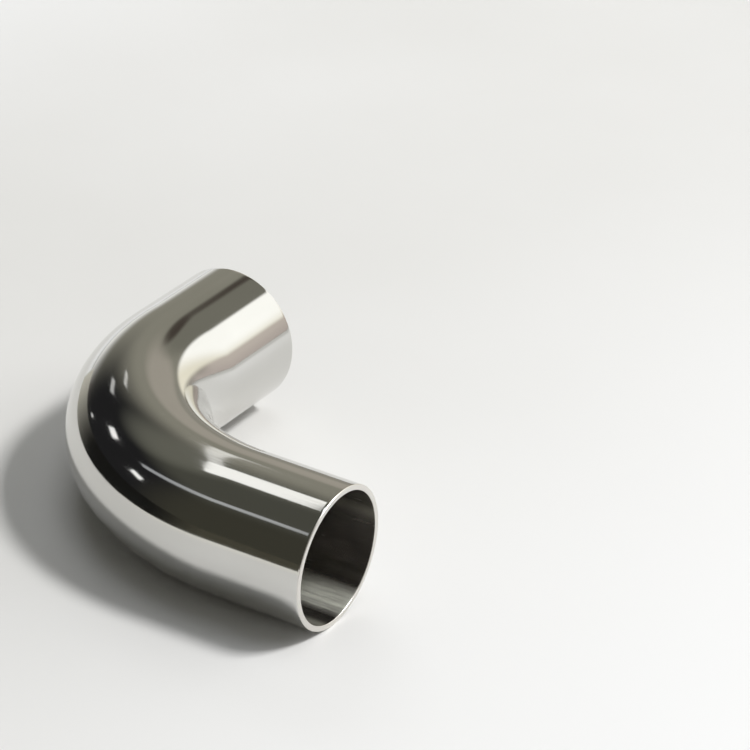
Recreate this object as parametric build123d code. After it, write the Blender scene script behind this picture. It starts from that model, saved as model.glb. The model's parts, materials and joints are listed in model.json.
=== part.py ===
from build123d import *
import os

# Long radius elbow, lying flat: one length of polished stainless steel tube,
# bent once, with a straight run at each end so that it can be welded or clamped.
# Origin at the centre of the inlet mouth. The inlet run lies along +Y and the
# outlet run, after a quarter turn to the right, along +X. +Z is up.

# Tube section
tube_od = 50.8
tube_wall = 2.0

# Centre line: straight, arc, straight
inlet_run = 38.1
bend_radius = 76.2
bend_angle = 90.0
outlet_run = 38.1

# Broken edges of the two square-cut ends
outer_edge_break = 0.35
inner_edge_break = 0.25

tube_radius = tube_od / 2
bore_radius = tube_radius - tube_wall


def centre_line():
    """The elbow's centre line, from the inlet mouth to the outlet mouth."""
    inlet = Line((0, 0), (0, inlet_run))
    bend = JernArc(inlet @ 1, inlet % 1, bend_radius, -bend_angle)
    outlet = Line(bend @ 1, bend @ 1 + (bend % 1) * outlet_run)
    return Wire([inlet, bend, outlet])


def tube_section(path):
    """The ring that the tube has everywhere, drawn square to the path's start."""
    ring = Circle(tube_radius) - Circle(bore_radius)
    return Plane(origin=path @ 0, z_dir=path % 0) * ring


def end_faces(tube):
    """The flat ring at each of the two mouths."""
    return tube.faces().filter_by(GeomType.PLANE)


def make_elbow():
    path = centre_line()
    tube = sweep(tube_section(path), path=path)
    outer_edges = [face.outer_wire().edge() for face in end_faces(tube)]
    tube = chamfer(outer_edges, outer_edge_break)
    inner_edges = [face.inner_wires().wire().edge() for face in end_faces(tube)]
    return chamfer(inner_edges, inner_edge_break)


elbow = make_elbow()
elbow.label = "elbow"

os.makedirs("parts", exist_ok=True)
export_step(elbow, "parts/elbow.step")
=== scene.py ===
"""Long radius elbow of polished stainless steel tube, lying on a pale floor.

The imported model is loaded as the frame. One Geometry Nodes tree makes the elbow:
it turns the outline of the tube's wall round the centre line of a straight tube,
and then bends that tube. Everything is in metres, with the origin at the centre
of the inlet mouth, the inlet along +Y, the outlet along +X and +Z up.
"""

import json
import math

import bpy
from mathutils import Matrix, Vector


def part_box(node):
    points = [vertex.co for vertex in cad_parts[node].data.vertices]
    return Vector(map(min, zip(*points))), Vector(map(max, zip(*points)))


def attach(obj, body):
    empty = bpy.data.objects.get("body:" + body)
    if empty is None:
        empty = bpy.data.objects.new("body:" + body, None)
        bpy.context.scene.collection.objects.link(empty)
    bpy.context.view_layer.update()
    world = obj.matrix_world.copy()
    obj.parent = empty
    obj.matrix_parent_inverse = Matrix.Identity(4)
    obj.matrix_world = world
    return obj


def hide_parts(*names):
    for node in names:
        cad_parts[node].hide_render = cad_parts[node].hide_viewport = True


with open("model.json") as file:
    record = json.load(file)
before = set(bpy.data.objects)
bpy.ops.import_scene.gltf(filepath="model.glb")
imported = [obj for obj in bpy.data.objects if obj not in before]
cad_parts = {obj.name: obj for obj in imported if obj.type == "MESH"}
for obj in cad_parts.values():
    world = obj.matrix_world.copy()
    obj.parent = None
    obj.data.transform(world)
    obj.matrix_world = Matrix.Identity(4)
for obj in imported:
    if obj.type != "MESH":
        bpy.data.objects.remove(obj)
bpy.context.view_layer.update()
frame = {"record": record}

MM = 0.001

# Sizes that the frame doesn't hold: the bend, and the two mouths' broken edges, as in the solid
BEND_ANGLE = math.radians(90.0)
OUTER_EDGE_BREAK = 0.35 * MM
INNER_EDGE_BREAK = 0.25 * MM

# How finely the tube is divided
STEPS_AROUND = 192
STEPS_ALONG = 210
STEPS_IN_EDGE = 4

# An edge that turns by more than this is sharp: only those in the broken edges do
SHARP_EDGE = math.radians(12.0)


def elbow_sizes():
    """The elbow's own sizes in metres, read from the record's mounts."""
    mounts = {mount["name"]: mount for mount in frame["record"]["mounts"]}
    inlet = mounts["inlet_tube"]["dims"]
    outlet = mounts["outlet_tube"]["dims"]
    bore = mounts["inlet_bore"]["dims"]
    outlet_mouth = Vector(mounts["outlet_bore"]["pos_m"])
    outer_radius = inlet["r_mm"] * MM
    inlet_run = inlet["length_mm"] * MM
    return {
        "Outer Radius": outer_radius,
        "Wall": outer_radius - bore["r_mm"] * MM,
        "Inlet Run": inlet_run,
        "Bend Radius": outlet_mouth.y - inlet_run,
        "Outlet Run": outlet["length_mm"] * MM,
    }


# What the node trees and the objects share


class Tree:
    """A node tree with short ways to add a node and to join sockets."""

    def __init__(self, tree):
        self.tree = tree

    def add(self, kind, inputs=None, **settings):
        """A new node with these settings, its inputs given as values or as other sockets."""
        node = self.tree.nodes.new(kind)
        for name, value in settings.items():
            setattr(node, name, value)
        for key, value in (inputs or {}).items():
            self.feed(node.inputs[key], value)
        return node

    def feed(self, socket, value):
        """Joins another socket to this one, or sets its own value."""
        if isinstance(value, bpy.types.NodeSocket):
            self.tree.links.new(value, socket)
        else:
            socket.default_value = value

    def math(self, operation, *numbers):
        """The result of a sum on one, two or three numbers."""
        inputs = dict(enumerate(numbers))
        return self.add("ShaderNodeMath", inputs, operation=operation).outputs["Value"]

    def vector_math(self, operation, *vectors):
        """The vector that a sum on one or two vectors gives."""
        inputs = dict(enumerate(vectors))
        return self.add("ShaderNodeVectorMath", inputs, operation=operation).outputs["Vector"]

    def measure(self, operation, *vectors):
        """The number that a sum on vectors gives: a length, a distance or a dot product."""
        inputs = dict(enumerate(vectors))
        return self.add("ShaderNodeVectorMath", inputs, operation=operation).outputs["Value"]

    def vector(self, x=0.0, y=0.0, z=0.0):
        return self.add("ShaderNodeCombineXYZ", {"X": x, "Y": y, "Z": z}).outputs["Vector"]

    def parts(self, vector):
        """A vector's X, Y and Z sockets, by name."""
        return self.add("ShaderNodeSeparateXYZ", {"Vector": vector}).outputs

    def compare(self, operation, first, second):
        inputs = {"A": first, "B": second}
        node = self.add("FunctionNodeCompare", inputs, data_type="FLOAT", operation=operation)
        return node.outputs["Result"]

    def switch(self, when, otherwise, then, kind="FLOAT"):
        inputs = {"Switch": when, "False": otherwise, "True": then}
        return self.add("GeometryNodeSwitch", inputs, input_type=kind).outputs["Output"]

    def position(self):
        return self.add("GeometryNodeInputPosition").outputs["Position"]

    def capture(self, geometry, kind, name, value):
        """The geometry with a value captured on its points, and that value."""
        node = self.add("GeometryNodeCaptureAttribute", domain="POINT")
        node.capture_items.new(kind, name)
        self.feed(node.inputs["Geometry"], geometry)
        self.feed(node.inputs[name], value)
        return node.outputs["Geometry"], node.outputs[name]

    def store(self, geometry, name, value, kind, domain):
        """The geometry with a value kept on it as a named attribute."""
        inputs = {"Geometry": geometry, "Name": name, "Value": value}
        node = self.add("GeometryNodeStoreNamedAttribute", inputs, data_type=kind, domain=domain)
        return node.outputs["Geometry"]

    def finished(self, geometry, material, selection=True):
        """The geometry with a material on its selected faces."""
        inputs = {"Geometry": geometry, "Selection": selection, "Material": material}
        return self.add("GeometryNodeSetMaterial", inputs).outputs["Geometry"]

    def ramp(self, value, low, high, to_low=0.0, to_high=1.0, smooth=True):
        """The value taken from the range low..high to the range to_low..to_high, clamped."""
        return self.add(
            "ShaderNodeMapRange",
            {"Value": value, "From Min": low, "From Max": high, "To Min": to_low, "To Max": to_high},
            interpolation_type="SMOOTHSTEP" if smooth else "LINEAR",
        ).outputs["Result"]

    def nearness(self, way, towards, edge, core):
        """How near a unit vector is to another: 0 at edge degrees off it, 1 within core degrees."""
        likeness = self.measure("DOT_PRODUCT", way, tuple(towards))
        return self.ramp(likeness, math.cos(math.radians(edge)), math.cos(math.radians(core)))

    def noise(self, place, scale=1.0, detail=2.0, roughness=0.5):
        inputs = {"Vector": place, "Scale": scale, "Detail": detail, "Roughness": roughness}
        return self.add("ShaderNodeTexNoise", inputs).outputs["Fac"]

    def bump(self, height, strength, depth, **under):
        """The normal bumped by a height; under may give the Normal that lies below."""
        inputs = {"Strength": strength, "Distance": depth, "Height": height, **under}
        return self.add("ShaderNodeBump", inputs).outputs["Normal"]

    def mix_colour(self, factor, first, second):
        node = self.add("ShaderNodeMix", {"Factor": factor}, data_type="RGBA")
        self.feed(socket_named(node.inputs, "A", "RGBA"), first)
        self.feed(socket_named(node.inputs, "B", "RGBA"), second)
        return socket_named(node.outputs, "Result", "RGBA")


def socket_named(sockets, name, kind):
    """The one of a Mix node's sockets that has this name and kind."""
    for socket in sockets:
        if socket.name == name and socket.type == kind:
            return socket
    raise KeyError(name)


def colour(red, green, blue):
    return (red, green, blue, 1.0)


def new_material(name):
    """A node material, its tree and its Principled shader."""
    material = bpy.data.materials.new(name)
    material.use_nodes = True
    tree = Tree(material.node_tree)
    shader = material.node_tree.nodes["Principled BSDF"]
    return material, tree, shader


def new_object(name, data):
    """An object in the scene that carries this mesh, lamp or camera."""
    carrier = bpy.data.objects.new(name, data)
    bpy.context.scene.collection.objects.link(carrier)
    return carrier


# Finishes


def new_metal(name):
    """A material like new_material's, for bare metal."""
    material, tree, shader = new_material(name)
    shader.inputs["Metallic"].default_value = 1.0
    return material, tree, shader


def straight_place(tree):
    """The place on the tube before it was bent: X is the way along it."""
    return tree.add("ShaderNodeAttribute", attribute_name="straight").outputs["Vector"]


def straightened(tree, along, around):
    """That place stretched, so that marks run along the tube or around it."""
    return tree.vector_math("MULTIPLY", straight_place(tree), (along, around, around))


def polished_steel():
    """The outside: buffed to a mirror, with faint lengthwise polishing lines."""
    material, tree, shader = new_metal("polished_steel")
    lines = tree.noise(straightened(tree, along=60.0, around=2600.0), detail=3.0, roughness=0.6)
    clouds = tree.noise(straightened(tree, along=38.0, around=95.0))
    ripple = tree.noise(straightened(tree, along=45.0, around=130.0), detail=1.0, roughness=0.4)
    duller_steel = colour(0.63, 0.625, 0.6)
    brighter_steel = colour(0.69, 0.685, 0.665)
    tree.feed(shader.inputs["Base Color"], tree.mix_colour(clouds, duller_steel, brighter_steel))
    haze = tree.ramp(lines, low=0.3, high=0.75, to_low=0.05, to_high=0.11)
    tree.feed(shader.inputs["Roughness"], haze)
    wave = tree.bump(ripple, strength=1.0, depth=0.012 * MM)
    scratch = tree.bump(lines, strength=0.25, depth=0.002 * MM, Normal=wave)
    tree.feed(shader.inputs["Normal"], scratch)
    return material


def drawn_bore():
    """The inside: left as the tube was drawn, greyer and with lengthwise lines."""
    material, tree, shader = new_metal("drawn_bore")
    lines = tree.noise(straightened(tree, along=25.0, around=1100.0), detail=4.0, roughness=0.65)
    stains = tree.noise(straightened(tree, along=70.0, around=160.0), detail=4.0, roughness=0.6)
    share_of_lines = 0.6
    share_of_stains = 0.4
    marks = tree.math("MULTIPLY_ADD", lines, share_of_lines, tree.math("MULTIPLY", stains, share_of_stains))
    darker_steel = colour(0.52, 0.49, 0.46)
    paler_steel = colour(0.6, 0.58, 0.55)
    painted_reflection_steel = colour(0.82, 0.84, 0.76)

    # A band low in the bore, a little towards the bend's inner side: its paler colour is a painted
    # reflection of light in the bore, and the band is also duller
    round_way = tree.vector_math("NORMALIZE", straightened(tree, along=0.0, around=1.0))
    band_below_level = math.radians(69.0)
    band_way = (0.0, -math.cos(band_below_level), -math.sin(band_below_level))
    band = tree.nearness(round_way, band_way, edge=20.0, core=6.0)
    band_breakup = tree.ramp(marks, low=0.25, high=0.6, to_low=0.6, to_high=1.0)
    reflection_and_dullness = tree.math("MULTIPLY", band, band_breakup)
    tint = tree.mix_colour(marks, darker_steel, paler_steel)
    # Painted reflection: the band's pale tint stands in for light mirrored in the bore
    tint = tree.mix_colour(reflection_and_dullness, tint, painted_reflection_steel)
    tree.feed(shader.inputs["Base Color"], tint)
    drawn_roughness = tree.ramp(marks, low=0.3, high=0.7, to_low=0.2, to_high=0.28)
    band_roughness_adds = 0.34
    roughness = tree.math("MULTIPLY_ADD", reflection_and_dullness, band_roughness_adds, drawn_roughness)
    tree.feed(shader.inputs["Roughness"], roughness)
    tree.feed(shader.inputs["Normal"], tree.bump(marks, strength=0.3, depth=0.004 * MM))
    return material


def faced_end():
    """The cut rings: faced square, satin, with the tool's fine rings round the mouth."""
    material, tree, shader = new_metal("faced_end")
    place = tree.parts(straight_place(tree))
    radius = tree.measure("LENGTH", tree.vector(y=place["Y"], z=place["Z"]))
    rings_per_metre = 9000.0
    rings = tree.add(
        "ShaderNodeTexNoise",
        {"W": tree.math("MULTIPLY", radius, rings_per_metre), "Scale": 1.0, "Detail": 2.0},
        noise_dimensions="1D",
    ).outputs["Fac"]
    tint = tree.mix_colour(rings, colour(0.7, 0.68, 0.64), colour(0.82, 0.8, 0.76))
    tree.feed(shader.inputs["Base Color"], tint)
    satin = tree.ramp(rings, low=0.3, high=0.7, to_low=0.3, to_high=0.42)
    tree.feed(shader.inputs["Roughness"], satin)
    tree.feed(shader.inputs["Normal"], tree.bump(rings, strength=0.4, depth=0.006 * MM))
    return material


# The elbow

TUBE_INPUTS = {
    "NodeSocketFloat": (
        "Outer Radius",
        "Wall",
        "Inlet Run",
        "Bend Radius",
        "Outlet Run",
        "Outer Edge Break",
        "Inner Edge Break",
        "Bend Angle",
    ),
    "NodeSocketInt": ("Steps Around", "Steps Along", "Steps In Edge"),
    "NodeSocketMaterial": ("Outside Finish", "Bore Finish", "End Finish"),
}


def wall_outline(tree, given, whole_length, mid_wall):
    """The outline of the tube's wall with its broken edges: X is the way along, Y the radius."""
    outer_radius = given["Outer Radius"]
    bore_radius = tree.math("SUBTRACT", outer_radius, given["Wall"])
    corners = {
        "Point 1": tree.vector(0.0, outer_radius),
        "Point 2": tree.vector(whole_length, outer_radius),
        "Point 3": tree.vector(whole_length, bore_radius),
        "Point 4": tree.vector(0.0, bore_radius),
    }
    outline = tree.add("GeometryNodeCurvePrimitiveQuadrilateral", corners, mode="POINTS")
    is_outer = tree.compare("GREATER_THAN", tree.parts(tree.position())["Y"], mid_wall)
    edge_break = tree.switch(is_outer, given["Inner Edge Break"], given["Outer Edge Break"])
    eased = tree.add(
        "GeometryNodeFilletCurve",
        {"Curve": outline.outputs["Curve"], "Count": given["Steps In Edge"], "Radius": edge_break},
        mode="POLY",
    )
    return eased.outputs["Curve"]


def divided_lengthwise(tree, given, outline):
    """The outline with only its two long sides divided further."""
    here = tree.position()
    next_point = tree.add("GeometryNodeOffsetPointInCurve", {"Offset": 1}).outputs["Point Index"]
    there = tree.add(
        "GeometryNodeFieldAtIndex",
        {"Index": next_point, "Value": here},
        data_type="FLOAT_VECTOR",
        domain="POINT",
    )
    gap = tree.measure("DISTANCE", here, there.outputs["Value"])
    is_long = tree.compare("GREATER_THAN", gap, given["Wall"])
    cuts = tree.switch(is_long, 0, given["Steps Along"], kind="INT")
    return tree.add("GeometryNodeSubdivideCurve", {"Curve": outline, "Cuts": cuts}).outputs["Curve"]


def bent_place(tree, given, along, outward, upward, bend_length):
    """Where the bend takes a place on the straight tube. What lies before or past it stays straight."""
    past_start = tree.math("SUBTRACT", along, given["Inlet Run"])
    in_bend = tree.math("MINIMUM", tree.math("MAXIMUM", past_start, 0.0), bend_length)
    off_bend = tree.math("SUBTRACT", past_start, in_bend)
    heading = tree.math("DIVIDE", in_bend, given["Bend Radius"])
    clockwise = tree.math("MULTIPLY", heading, -1.0)
    arm = tree.math("MULTIPLY", tree.math("ADD", given["Bend Radius"], outward), -1.0)
    turned = tree.add(
        "ShaderNodeVectorRotate",
        {"Vector": tree.vector(arm, off_bend, upward), "Angle": clockwise},
        rotation_type="Z_AXIS",
    )
    bend_centre = tree.vector(given["Bend Radius"], given["Inlet Run"])
    return tree.vector_math("ADD", turned.outputs["Vector"], bend_centre)


def tube_wall_tree():
    """Geometry Nodes: a straight tube turned from the outline of its wall, then bent."""
    group = bpy.data.node_groups.new("bent_tube", "GeometryNodeTree")
    for kind, names in TUBE_INPUTS.items():
        for name in names:
            group.interface.new_socket(name, in_out="INPUT", socket_type=kind)
    group.interface.new_socket("Geometry", in_out="OUTPUT", socket_type="NodeSocketGeometry")
    tree = Tree(group)
    given = tree.add("NodeGroupInput").outputs

    # Lengths along the centre line, and the radius at the middle of the wall
    bend_length = tree.math("MULTIPLY", given["Bend Radius"], given["Bend Angle"])
    both_runs = tree.math("ADD", given["Inlet Run"], given["Outlet Run"])
    whole_length = tree.math("ADD", both_runs, bend_length)
    half_wall = tree.math("MULTIPLY", given["Wall"], 0.5)
    mid_wall = tree.math("SUBTRACT", given["Outer Radius"], half_wall)

    # The outline, turned round the axis
    outline = divided_lengthwise(tree, given, wall_outline(tree, given, whole_length, mid_wall))
    outline, outline_place = tree.capture(outline, "VECTOR", "Place", tree.position())
    circle = tree.add("GeometryNodeCurvePrimitiveCircle", {"Resolution": given["Steps Around"]})
    part_turned = tree.add("GeometryNodeSplineParameter").outputs["Factor"]
    circle, turn = tree.capture(circle.outputs["Curve"], "FLOAT", "Turn", part_turned)
    skin = tree.add("GeometryNodeCurveToMesh", {"Curve": circle, "Profile Curve": outline})
    along = tree.parts(outline_place)["X"]
    radius = tree.parts(outline_place)["Y"]
    angle = tree.math("MULTIPLY", turn, 2.0 * math.pi)
    outward = tree.math("MULTIPLY", radius, tree.math("COSINE", angle))
    upward = tree.math("MULTIPLY", radius, tree.math("SINE", angle))
    straight = tree.vector(along, outward, upward)
    whole = tree.store(skin.outputs["Mesh"], "straight", straight, "FLOAT_VECTOR", "POINT")

    # Bent, and smooth all over but for the broken edges
    place = bent_place(tree, given, along, outward, upward, bend_length)
    bent = tree.add("GeometryNodeSetPosition", {"Geometry": whole, "Position": place})
    smooth = tree.add("GeometryNodeSetShadeSmooth", {0: bent.outputs["Geometry"], "Shade Smooth": True})
    edge_angle = tree.add("GeometryNodeInputMeshEdgeAngle").outputs["Unsigned Angle"]
    is_sharp = tree.compare("GREATER_THAN", edge_angle, SHARP_EDGE)
    whole = tree.store(smooth.outputs[0], "sharp_edge", is_sharp, "BOOLEAN", "EDGE")

    # Finishes: outside, bore and the two cut ends
    is_bore = tree.compare("LESS_THAN", radius, mid_wall)
    at_inlet = tree.compare("LESS_THAN", along, given["Outer Edge Break"])
    last_flat = tree.math("SUBTRACT", whole_length, given["Outer Edge Break"])
    at_outlet = tree.compare("GREATER_THAN", along, last_flat)
    is_end = tree.add("FunctionNodeBooleanMath", {0: at_inlet, 1: at_outlet}, operation="OR")
    whole = tree.finished(whole, given["Outside Finish"])
    whole = tree.finished(whole, given["Bore Finish"], is_bore)
    whole = tree.add("GeometryNodeRealizeInstances", {"Geometry": whole}).outputs["Geometry"]
    whole = tree.finished(whole, given["End Finish"], is_end.outputs["Boolean"])
    tree.add("NodeGroupOutput", {"Geometry": whole})
    return group


def plain_mesh_from_tree(name, group, values):
    """Runs a Geometry Nodes tree with these named inputs and keeps the mesh it makes."""
    carrier = new_object(name, bpy.data.meshes.new(name + "_start"))
    modifier = carrier.modifiers.new("tree", "NODES")
    modifier.node_group = group
    identifiers = {
        item.name: item.identifier
        for item in group.interface.items_tree
        if item.item_type == "SOCKET" and item.in_out == "INPUT"
    }
    for key, value in values.items():
        modifier[identifiers[key]] = value
    bpy.context.view_layer.update()
    evaluated = carrier.evaluated_get(bpy.context.evaluated_depsgraph_get())
    mesh = bpy.data.meshes.new_from_object(evaluated)
    carrier.modifiers.remove(modifier)
    carrier.data = mesh
    mesh.name = name
    return carrier


def make_elbow():
    """The whole elbow, one closed skin, in place of the CAD node."""
    values = {
        **elbow_sizes(),
        "Outer Edge Break": OUTER_EDGE_BREAK,
        "Inner Edge Break": INNER_EDGE_BREAK,
        "Bend Angle": BEND_ANGLE,
        "Steps Around": STEPS_AROUND,
        "Steps Along": STEPS_ALONG,
        "Steps In Edge": STEPS_IN_EDGE,
        "Outside Finish": polished_steel(),
        "Bore Finish": drawn_bore(),
        "End Finish": faced_end(),
    }
    elbow = plain_mesh_from_tree("elbow_tube", tube_wall_tree(), values)
    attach(elbow, "root")
    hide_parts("elbow")


# The studio: a pale floor, soft lamps, and a dim room for the steel to mirror

WHITE = (1.0, 1.0, 1.0)
WARM = (1.0, 0.992, 0.98)
COOL = (0.92, 0.95, 1.0)
DOWN = Vector((0.0, 0.0, -1.0))

# How far the lamps are from the start of the bend
SOFT_BOX_DISTANCE = 3.5
PANE_DISTANCE = 1.2
CEILING_HEIGHT = 1.2


def direction(azimuth, elevation=0.0):
    """A unit vector. Azimuth is in degrees from +Y towards +X, elevation above level."""
    turn = math.radians(azimuth)
    rise = math.radians(elevation)
    return Vector((math.sin(turn) * math.cos(rise), math.cos(turn) * math.cos(rise), math.sin(rise)))


def look_along(forward, right):
    """The rotation of a lamp or camera that looks along forward, with right to its right."""
    up = right.cross(forward)
    return Matrix((right, up, -forward)).transposed()


def flat_sheet(name, corners, material):
    """A sheet of paper or card with these four corners."""
    mesh = bpy.data.meshes.new(name)
    mesh.from_pydata(corners, [], [(0, 1, 2, 3)])
    mesh.materials.append(material)
    return new_object(name, mesh)


def white_paper():
    """Matt white paper with a gentle mottle, and painted shade and painted warm light in broad patches."""
    material, tree, shader = new_material("white_paper")
    place = tree.add("ShaderNodeTexCoord").outputs["Object"]

    def metres_towards(azimuth):
        """How far each place lies from the inlet mouth, that way."""
        return tree.measure("DOT_PRODUCT", place, tuple(direction(azimuth)))

    paper = colour(0.87, 0.875, 0.89)
    painted_shade_paper = colour(0.67, 0.665, 0.65)
    painted_warm_light_paper = colour(0.87, 0.862, 0.815)
    painted_far_shade_paper = colour(0.48, 0.475, 0.46)
    speckle = colour(0.85, 0.85, 0.86)
    share_of_speckle = 0.4

    # As the camera sees it: painted shade in a belt under and beyond the elbow, painted warm light near on
    # the left, and painted shade far to the right
    beyond_mouth = metres_towards(5.0)
    shade_belt_starts = tree.ramp(beyond_mouth, low=-0.22, high=0.2)
    shade_belt_ends = tree.ramp(beyond_mouth, low=0.6, high=0.3)
    warm_light_on_left = tree.ramp(metres_towards(-60.0), low=0.16, high=0.26)
    shade_on_right = tree.ramp(metres_towards(138.0), low=0.2, high=0.75)
    # Painted shade in a belt under and beyond the elbow
    sheet = tree.mix_colour(tree.math("MULTIPLY", shade_belt_starts, shade_belt_ends), paper, painted_shade_paper)
    # Painted warm light near on the left
    sheet = tree.mix_colour(warm_light_on_left, sheet, painted_warm_light_paper)
    # Painted shade far to the right
    sheet = tree.mix_colour(shade_on_right, sheet, painted_far_shade_paper)
    mottle = tree.noise(place, scale=6.0, detail=3.0)
    tint = tree.mix_colour(tree.math("MULTIPLY", mottle, share_of_speckle), sheet, speckle)
    tree.feed(shader.inputs["Base Color"], tint)
    shader.inputs["Roughness"].default_value = 0.9
    shader.inputs["Specular IOR Level"].default_value = 0.0
    return material


def pale_floor(level):
    """A wide sheet of white paper under the elbow."""
    reach = 4.0
    corners = [
        (-reach, -reach, level),
        (reach, -reach, level),
        (reach, reach, level),
        (-reach, reach, level),
    ]
    floor = flat_sheet("floor", corners, white_paper())


def area_lamp(name, place, forward, right, width, height, radiance, tint):
    """A soft rectangular lamp. A Lambertian face of that radiance needs power = radiance x pi x area."""
    lamp = bpy.data.lights.new(name, "AREA")
    lamp.shape = "RECTANGLE"
    lamp.size = width
    lamp.size_y = height
    lamp.energy = radiance * math.pi * width * height
    lamp.color = tint
    holder = new_object(name, lamp)
    holder.matrix_world = Matrix.Translation(place) @ look_along(forward, right).to_4x4()
    holder.visible_camera = False
    return holder


def facing_lamp(name, target, way, wide, tall, radiance, distance=PANE_DISTANCE, roll=0.0, tint=WHITE):
    """A lamp that faces the target, wide and tall in degrees as the target sees it.

    The way is its azimuth and elevation from there, and roll turns it about that way.
    """
    azimuth, elevation = way
    towards = direction(azimuth, elevation)
    level_right = direction(azimuth - 90.0)
    right = Matrix.Rotation(math.radians(roll), 3, towards) @ level_right
    width = 2.0 * distance * math.tan(math.radians(wide / 2.0))
    height = 2.0 * distance * math.tan(math.radians(tall / 2.0))
    area_lamp(name, target + towards * distance, -towards, right, width, height, radiance, tint)


def soft_box(name, target, way, wide, tall, radiance, tint):
    """A lamp that faces the target from well back."""
    facing_lamp(name, target, way, wide, tall, radiance, distance=SOFT_BOX_DISTANCE, tint=tint)


def ceiling_lamp(name, target, start, end, wide, radiance, tint=WHITE):
    """A strip in the ceiling, from start to end.

    Both are steps along X and Y from above the target. They and the strip's width are given
    as shares of the ceiling's height above it.
    """
    first = Vector((*start, 1.0)) * CEILING_HEIGHT
    last = Vector((*end, 1.0)) * CEILING_HEIGHT
    run = last - first
    middle = target + (first + last) / 2.0
    width = wide * CEILING_HEIGHT
    area_lamp(name, middle, DOWN, run.normalized(), run.length, width, radiance, tint)


def light_elbow(target):
    """A large box overhead, a small key box and a dim front window light the elbow.

    The paper lamp is for the far paper and isn't mirrored. The strips and the panes are there
    to be mirrored in the steel.
    """
    soft_box("overhead_box", target, (61.0, 88.0), wide=30.0, tall=30.0, radiance=1.55, tint=COOL)
    soft_box("key_box", target, (149.0, 55.0), wide=13.0, tall=9.0, radiance=68.0, tint=WARM)
    soft_box("front_window", target, (163.0, 40.0), wide=24.0, tall=16.0, radiance=2.2, tint=COOL)

    distance = 1.1
    height = 0.8
    side = 0.6
    radiance = 2.2
    over_far_paper = target + direction(50.0) * distance - DOWN * height
    across_view = direction(140.0)
    paper_lamp = area_lamp("paper_lamp", over_far_paper, DOWN, across_view, side, side, radiance, COOL)
    paper_lamp.visible_glossy = False

    ceiling_lamp("near_strip", target, start=(0.03, 0.525), end=(0.37, 0.535), wide=0.17, radiance=1.2)
    ceiling_lamp("long_strip", target, start=(0.37, 0.59), end=(1.2, 0.80), wide=0.055, radiance=0.7)
    ceiling_lamp(
        "far_strip", target, start=(-0.80, 0.56), end=(-0.50, 1.6), wide=0.12, radiance=0.5, tint=COOL
    )
    facing_lamp("left_pane", target, (-24.0, 20.0), wide=6.5, tall=3.5, radiance=1.3)
    facing_lamp("middle_pane", target, (3.0, 24.0), wide=6.5, tall=4.0, radiance=1.3)
    facing_lamp("small_pane", target, (30.0, 24.0), wide=6.0, tall=2.5, radiance=0.6, roll=14.0)
    facing_lamp("low_pane", target, (12.0, 9.5), wide=1.6, tall=1.6, radiance=1.2)
    facing_lamp("high_pane", target, (41.0, 28.0), wide=5.0, tall=1.5, radiance=0.6, roll=24.0)


def black_card(along, middle):
    """Black card that is duller at its left end and pale at its right end.

    Along is the way from left to right, and middle is how far along it the card's middle is.
    """
    material, tree, shader = new_material("black_card")
    place = tree.add("ShaderNodeTexCoord").outputs["Object"]
    fibres = tree.noise(place, scale=90.0, detail=3.0)
    black = tree.mix_colour(fibres, colour(0.004, 0.004, 0.004), colour(0.009, 0.009, 0.008))
    metres_along = tree.measure("DOT_PRODUCT", place, tuple(along))
    dull_end = tree.ramp(metres_along, low=middle - 0.05, high=middle - 0.22)
    tint = tree.mix_colour(dull_end, black, colour(0.06, 0.057, 0.042))
    pale_end = tree.ramp(metres_along, low=middle + 0.1, high=middle + 0.34)
    tint = tree.mix_colour(pale_end, tint, colour(0.5, 0.49, 0.44))
    tree.feed(shader.inputs["Base Color"], tint)
    shader.inputs["Roughness"].default_value = 0.9
    shader.inputs["Specular IOR Level"].default_value = 0.1
    return material


def low_dark_board(target, floor_level):
    """A low dark board at the paper's left edge: it ends the pale floor in the steel's reflection."""
    away = direction(-25.0)
    along = direction(65.0)
    distance = 0.24
    reach_left = 0.3
    reach_right = 0.34
    rise = Vector((0.0, 0.0, 0.06))
    foot = Vector((target.x, target.y, floor_level)) + away * distance
    left = foot - along * reach_left
    right = foot + along * reach_right
    corners = [left, right, right + rise, left + rise]
    board = flat_sheet("dark_board", corners, black_card(along, foot.dot(along)))
    board.visible_camera = False
    board.visible_diffuse = False
    board.visible_shadow = False


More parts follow.
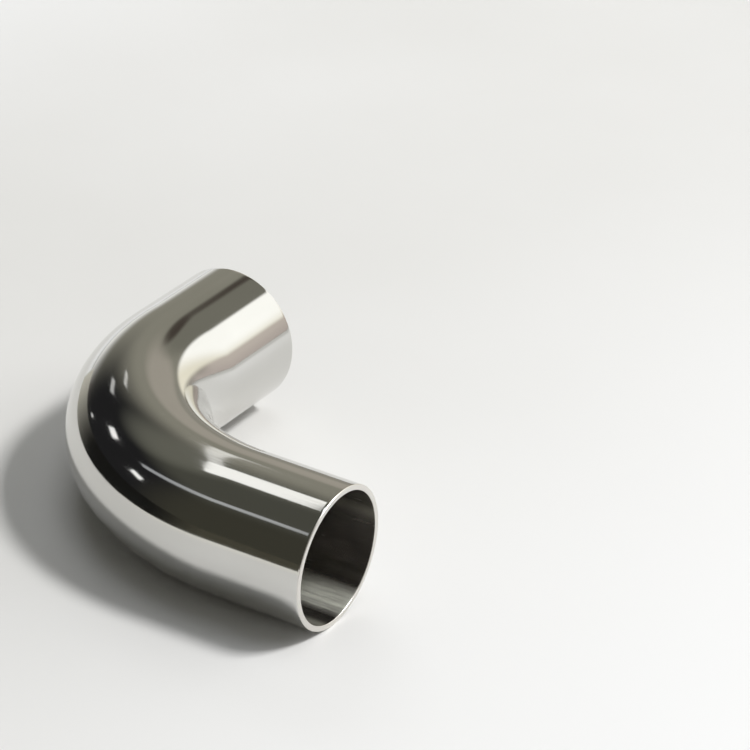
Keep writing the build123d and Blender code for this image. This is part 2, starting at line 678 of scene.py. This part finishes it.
class RoomTree(Tree):
    """The world's node tree. Its walls' tones depend on the way in which they are seen."""

    def __init__(self, tree):
        super().__init__(tree)
        self.way = self.add("ShaderNodeTexCoord").outputs["Generated"]
        self.height = self.parts(self.way)["Z"]
        flattened = self.vector_math("MULTIPLY", self.way, (1.0, 1.0, 0.0))
        self.level_way = self.vector_math("NORMALIZE", flattened)

    def bay(self, azimuth, edge, core):
        """A stretch of wall of any height: 0 at edge degrees off the azimuth, 1 within core degrees."""
        return self.nearness(self.level_way, direction(azimuth), edge, core)

    def patch(self, wall, way, edge, core, strength, tint):
        """The wall with a soft round patch of another tone."""
        near = self.nearness(self.way, direction(*way), edge, core)
        return self.mix_colour(self.math("MULTIPLY", near, strength), wall, tint)

    def inner_side(self, first, second, inside, soft):
        """1 on the inner side of the plane through two directions, and 0 on its outer side."""
        normal = direction(*first).cross(direction(*second)).normalized()
        if normal.dot(direction(*inside)) < 0.0:
            normal = -normal
        return self.ramp(self.measure("DOT_PRODUCT", self.way, tuple(normal)), -soft, soft)

    def lightness(self):
        """0 in the dark side of the room and 1 in the pale one. The border leans back as it rises."""
        toward_dark = self.measure("DOT_PRODUCT", self.level_way, tuple(direction(-25.0)))
        leans_up_to = 0.36
        lean = 0.6
        steepness = 1.5
        rise = self.ramp(self.height, 0.0, leans_up_to, 0.0, leans_up_to, smooth=False)
        leaning = self.math("MULTIPLY_ADD", rise, lean, toward_dark)
        return self.math("POWER", self.ramp(leaning, low=0.9, high=0.38), steepness)

    def dark_wall(self):
        """The dark side, a little less dark at its left end and high up."""
        low = self.mix_colour(
            self.bay(-72.0, edge=48.0, core=12.0),
            colour(0.018, 0.018, 0.019),
            colour(0.055, 0.053, 0.04),
        )
        high_up = self.ramp(self.height, low=0.56, high=0.76)
        return self.mix_colour(high_up, low, colour(0.085, 0.085, 0.07))

    def pale_wall(self):
        """The pale side: brighter near the floor, and duller high up."""
        low = self.mix_colour(
            self.bay(66.0, edge=28.0, core=12.0),
            colour(0.6, 0.53, 0.49),
            colour(0.36, 0.34, 0.3),
        )
        low = self.mix_colour(self.bay(43.0, edge=19.0, core=10.0), low, colour(1.1, 1.1, 1.08))
        high = self.mix_colour(
            self.bay(85.0, edge=80.0, core=50.0),
            colour(0.13, 0.13, 0.11),
            colour(0.31, 0.3, 0.25),
        )
        low_down = self.ramp(self.height, low=0.42, high=0.3)
        under_window = self.math("MULTIPLY", self.bay(130.0, edge=34.0, core=14.0), low_down)
        high = self.mix_colour(under_window, high, colour(0.7, 0.63, 0.57))
        lighter = colour(0.5, 0.46, 0.4)
        duller = colour(0.21, 0.205, 0.17)
        high = self.patch(high, (69.0, 19.0), edge=13.0, core=7.0, strength=0.75, tint=lighter)
        high = self.patch(high, (90.0, 41.0), edge=22.0, core=12.0, strength=0.9, tint=duller)
        off_floor = self.ramp(self.height, low=-0.03, high=0.2)
        return self.mix_colour(off_floor, low, high)

    def window(self):
        """The window on the right, cut off by a slanting blind and a sloping sill: 1 in its glass."""
        middle = (112.0, 20.0)
        under_blind = self.inner_side((76.0, 5.0), (110.0, 40.0), middle, soft=0.03)
        over_sill = self.inner_side((80.0, 2.0), (130.0, 14.0), middle, soft=0.04)
        below_top = self.ramp(self.height, low=0.74, high=0.7)
        glass = self.math("MULTIPLY", under_blind, below_top)
        glass = self.math("MULTIPLY", glass, over_sill)
        return self.math("MULTIPLY", glass, self.bay(112.0, edge=44.0, core=38.0))

    def daylight(self):
        """The window's light: warm near its sill, and white above."""
        above_sill = self.ramp(self.height, low=0.15, high=0.4)
        return self.mix_colour(above_sill, colour(1.08, 1.03, 0.86), colour(1.45, 1.45, 1.4))


def dim_room():
    """The world: a room with a dark side, a pale side with a beam, a glow and a window."""
    world = bpy.data.worlds.new("room")
    world.use_nodes = True
    bpy.context.scene.world = world
    tree = RoomTree(world.node_tree)
    wall = tree.mix_colour(tree.lightness(), tree.dark_wall(), tree.pale_wall())
    beam = colour(0.06, 0.045, 0.038)
    glow = colour(0.24, 0.24, 0.2)
    wall = tree.patch(wall, (74.0, 34.5), edge=6.0, core=1.5, strength=0.9, tint=beam)
    wall = tree.patch(wall, (17.0, 50.0), edge=21.0, core=4.0, strength=0.5, tint=glow)
    wall = tree.mix_colour(tree.window(), wall, tree.daylight())
    background = world.node_tree.nodes["Background"]
    tree.feed(background.inputs["Color"], wall)
    background.inputs["Strength"].default_value = 1.0


def photo_camera():
    """The photograph's viewpoint and field of view."""
    data = bpy.data.cameras.new("camera")
    data.lens = 192.0
    data.sensor_width = 36.0
    data.clip_start = 0.01
    data.clip_end = 20.0
    place = Vector((-0.98613, -0.55606, 0.66147))
    forward = Vector((0.7746, 0.4298, -0.4640)).normalized()
    right = Vector((0.5119, -0.8569, 0.0607))
    right = (right - forward * right.dot(forward)).normalized()
    camera = new_object("camera", data)
    camera.matrix_world = Matrix.Translation(place) @ look_along(forward, right).to_4x4()
    bpy.context.scene.camera = camera


def studio():
    """Floor, lamps, board, room and camera, set out round the start of the bend."""
    lowest_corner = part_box("elbow")[0]
    floor_level = lowest_corner[2]
    bend_start = Vector((0.0, elbow_sizes()["Inlet Run"], 0.0))
    pale_floor(floor_level)
    light_elbow(bend_start)
    low_dark_board(bend_start, floor_level)
    dim_room()
    photo_camera()
    bpy.context.scene.view_settings.view_transform = "Standard"


make_elbow()
studio()
